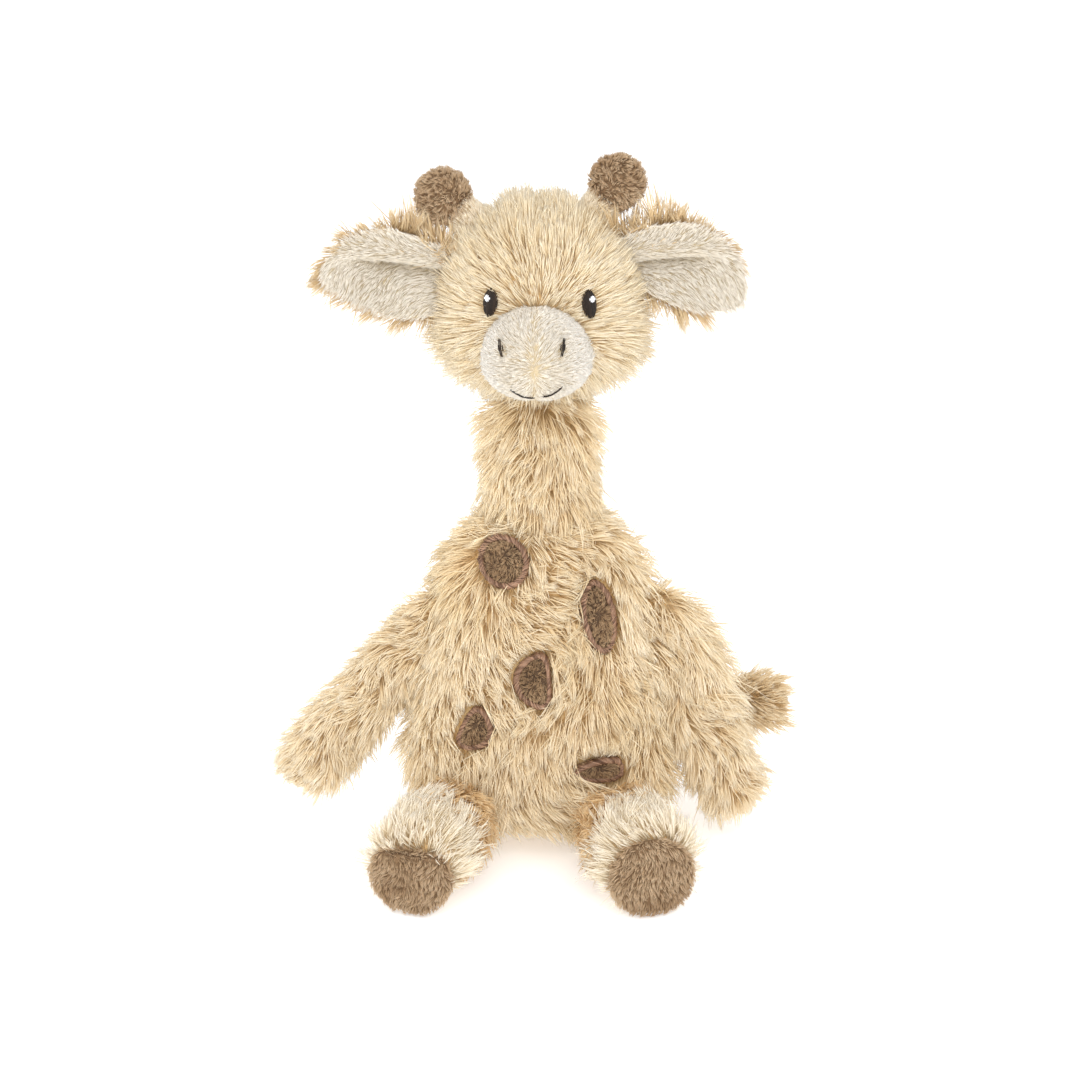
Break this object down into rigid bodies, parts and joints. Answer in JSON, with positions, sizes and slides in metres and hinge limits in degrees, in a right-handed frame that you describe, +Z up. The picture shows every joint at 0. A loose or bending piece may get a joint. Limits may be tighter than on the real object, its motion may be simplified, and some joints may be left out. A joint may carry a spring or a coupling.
{
  "type": "plush toy",
  "caption": "Sitting plush giraffe of long beige pile with brown spots, short muzzle, horns, flapping ears, sewn-on limbs and tail.",
  "frame": {"origin": "on the surface it sits on, below the middle of the torso", "axes": "+Z up, the toy faces -Y, +X is its own left side"},
  "size_m": [0.1841, 0.1257, 0.2411],
  "materials": {
    "long_pile": "long-pile plush",
    "foot_pile": "long-pile plush, cream",
    "short_pile": "short-pile plush, cream",
    "brown_pile": "short-pile plush, brown",
    "spot_pile": "short-pile plush, brown",
    "satin_stitch": "embroidery thread",
    "dark_stitch": "embroidery thread",
    "white_stitch": "embroidery thread",
    "fibre": "loose polyester fibre"
  },
  "bodies": {
    "torso": {"torso_cover": "long_pile", "torso_filling": "fibre", "spot_chest": "spot_pile", "spot_chest_border": "satin_stitch", "spot_side": "spot_pile", "spot_side_border": "satin_stitch", "spot_middle": "spot_pile", "spot_middle_border": "satin_stitch", "spot_flank": "spot_pile", "spot_flank_border": "satin_stitch", "spot_lap": "spot_pile", "spot_lap_border": "satin_stitch"},
    "neck": {"neck_cover": "long_pile", "neck_filling": "fibre"},
    "head": {"head_cover": "long_pile", "head_filling": "fibre", "muzzle_cover": "short_pile", "muzzle_filling": "fibre", "eye_left": "dark_stitch", "eye_right": "dark_stitch", "eye_glint_left": "white_stitch", "eye_glint_right": "white_stitch", "nostril_left": "dark_stitch", "nostril_right": "dark_stitch", "mouth_stitch_left": "dark_stitch", "mouth_stitch_right": "dark_stitch", "horn_stalk_left": "short_pile", "horn_stalk_right": "short_pile", "horn_knob_left": "brown_pile", "horn_knob_right": "brown_pile", "horn_filling_left": "fibre", "horn_filling_right": "fibre"},
    "ear_left": {"ear_back_left": "long_pile", "ear_lining_left": "short_pile"},
    "ear_right": {"ear_back_right": "long_pile", "ear_lining_right": "short_pile"},
    "arm_left": {"arm_cover_left": "long_pile", "arm_filling_left": "fibre"},
    "arm_right": {"arm_cover_right": "long_pile", "arm_filling_right": "fibre"},
    "leg_left": {"leg_cover_left": "foot_pile", "leg_filling_left": "fibre", "sole_left": "brown_pile"},
    "leg_right": {"leg_cover_right": "foot_pile", "leg_filling_right": "fibre", "sole_right": "brown_pile"},
    "tail": {"tail_cover": "long_pile", "tail_filling": "fibre"}
  },
  "joints": [
    {"name": "neck_lean", "type": "hinge", "parent": "torso", "child": "neck", "pos_m": [0, 0, 0.116], "axis": [1, 0, 0], "range_deg": [-14, 14], "stiffness_Nm_per_rad": 1.2},
    {"name": "head_turn", "type": "hinge", "parent": "neck", "child": "head", "pos_m": [0, 0, 0.16], "axis": [0, 0, 1], "range_deg": [-30, 30], "stiffness_Nm_per_rad": 0.1},
    {"name": "ear_fold_left", "type": "hinge", "parent": "head", "child": "ear_left", "pos_m": [0.03, -0.003, 0.2015], "axis": [0, 0, 1], "range_deg": [-20, 20], "stiffness_Nm_per_rad": 0.02},
    {"name": "ear_fold_right", "type": "hinge", "parent": "head", "child": "ear_right", "pos_m": [-0.0305, -0.003, 0.199], "axis": [0, 0, -1], "range_deg": [-20, 20], "stiffness_Nm_per_rad": 0.02},
    {"name": "arm_lift_left", "type": "hinge", "parent": "torso", "child": "arm_left", "pos_m": [0.035, -0.002, 0.0845], "axis": [0, -1, 0], "range_deg": [0, 58], "stiffness_Nm_per_rad": 0.2},
    {"name": "arm_lift_right", "type": "hinge", "parent": "torso", "child": "arm_right", "pos_m": [-0.032, -0.002, 0.084], "axis": [0, 1, 0], "range_deg": [0, 46], "stiffness_Nm_per_rad": 0.2},
    {"name": "leg_lift_left", "type": "hinge", "parent": "torso", "child": "leg_left", "pos_m": [0.0245, -0.028, 0.0175], "axis": [-1, 0, 0], "range_deg": [-20, 8], "stiffness_Nm_per_rad": 0.4},
    {"name": "leg_lift_right", "type": "hinge", "parent": "torso", "child": "leg_right", "pos_m": [-0.027, -0.028, 0.0175], "axis": [-1, 0, 0], "range_deg": [-20, 8], "stiffness_Nm_per_rad": 0.4},
    {"name": "tail_swing", "type": "hinge", "parent": "torso", "child": "tail", "pos_m": [0.012, 0.0365, 0.025], "axis": [0, 0, 1], "range_deg": [0, 60], "stiffness_Nm_per_rad": 0.05}
  ]
}
